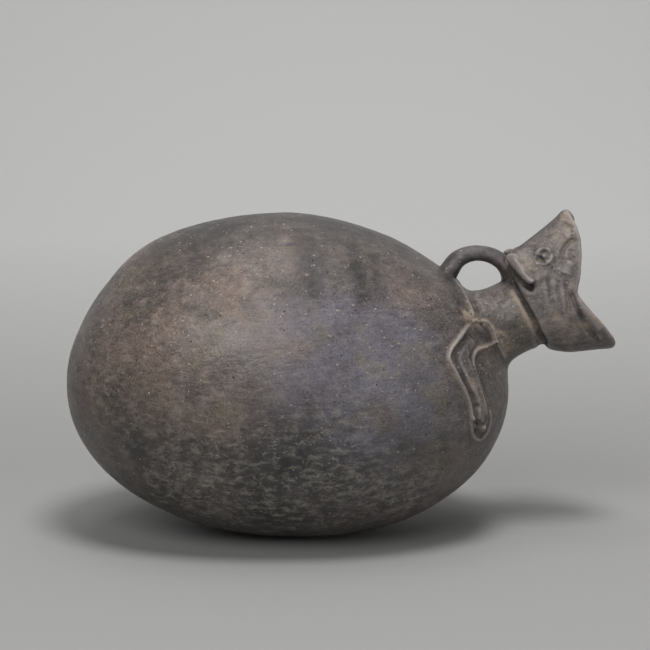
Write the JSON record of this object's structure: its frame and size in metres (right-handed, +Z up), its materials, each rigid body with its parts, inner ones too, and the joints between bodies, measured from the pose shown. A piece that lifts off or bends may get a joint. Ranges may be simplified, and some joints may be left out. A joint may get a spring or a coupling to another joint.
{
  "type": "animal-headed bottle",
  "caption": "Hollow blackware clay bottle shaped as a crouching egg-bodied animal: its open jaws are the mouth, and a strap handle loops behind the head.",
  "frame": {"origin": "middle of the small flat spot on the underside that the bottle rests on", "axes": "+Z up, +X along the body towards the head and its open jaws, the XZ plane is the plane of symmetry"},
  "size_m": [0.274, 0.16, 0.1633],
  "materials": {
    "clay": null
  },
  "bodies": {
    "root": {"bottle": "clay"}
  },
  "joints": []
}
